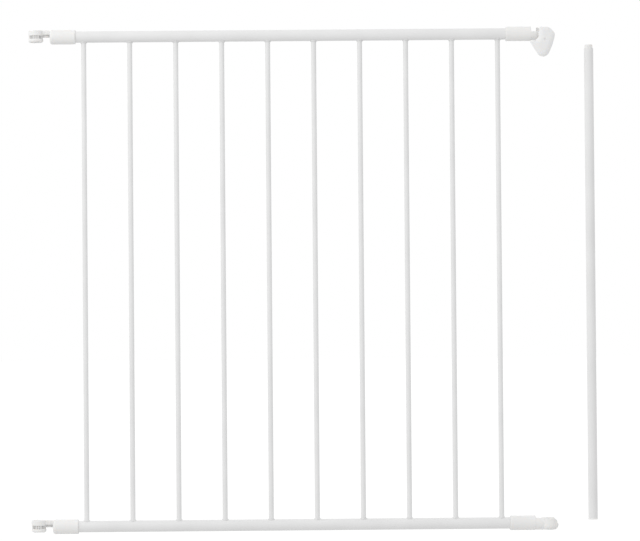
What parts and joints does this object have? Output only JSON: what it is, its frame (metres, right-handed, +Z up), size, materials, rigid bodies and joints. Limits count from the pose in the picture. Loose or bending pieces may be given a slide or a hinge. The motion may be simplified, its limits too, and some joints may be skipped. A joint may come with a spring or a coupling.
{
  "type": "safety gate extension section",
  "caption": "Flat barred gate section with round rails, toothed hinge hubs on one side, open hinge cups with a release lever on the other and a loose joint tube.",
  "frame": {"origin": "the lower left hinge axis at the height of the bottom rail's centre line", "axes": "+X along the rails towards the hinge cups, +Y towards the back of the panel, +Z up along the hinge axes"},
  "size_m": [0.7984, 0.0304, 0.7114],
  "materials": {
    "white_powder_coat": "satin powder coat",
    "white_plastic": "fine satin moulding",
    "lever_plastic": "satin moulding",
    "plated_steel": "zinc plated",
    "spring_wire": "bright wire"
  },
  "bodies": {
    "panel": {"bottom_rail": "white_powder_coat", "top_rail": "white_powder_coat", "bar_01": "white_powder_coat", "bar_02": "white_powder_coat", "bar_03": "white_powder_coat", "bar_04": "white_powder_coat", "bar_05": "white_powder_coat", "bar_06": "white_powder_coat", "bar_07": "white_powder_coat", "bar_08": "white_powder_coat", "bar_09": "white_powder_coat", "bar_10": "white_powder_coat", "lower_weld_beads": "white_powder_coat", "upper_weld_beads": "white_powder_coat", "lower_left_hinge_arm": "white_plastic", "upper_left_hinge_arm": "white_plastic", "lower_right_socket": "white_plastic", "upper_right_socket": "white_plastic", "sleeve_screws": "plated_steel", "lever_pin": "plated_steel", "latch_spring": "spring_wire"},
    "release_lever": {"release_lever": "lever_plastic"},
    "joint_tube": {"joint_tube": "white_powder_coat", "tube_foot": "white_plastic", "spring_seat": "white_plastic", "tube_spring": "spring_wire"},
    "tube_end_plunger": {"tube_end_plunger": "white_plastic"}
  },
  "joints": [
    {"name": "lever_rock", "type": "hinge", "parent": "panel", "child": "release_lever", "pos_m": [0.72, -0.0132, 0.6806], "axis": [1, 0, 0], "range_deg": [0, 12], "stiffness_Nm_per_rad": 0.08, "springref_deg": -22.92, "deforming": ["latch_spring"]},
    {"name": "tube_placing", "type": "slide", "parent": "panel", "child": "joint_tube", "axis": [-0.9956, 0, 0.0939], "range_m": [0, 0.06177]},
    {"name": "plunger_press", "type": "slide", "parent": "joint_tube", "child": "tube_end_plunger", "axis": [0, 0, -1], "range_m": [0, 0.005], "stiffness_N_per_m": 200, "springref_m": -0.02, "deforming": ["tube_spring"]}
  ]
}
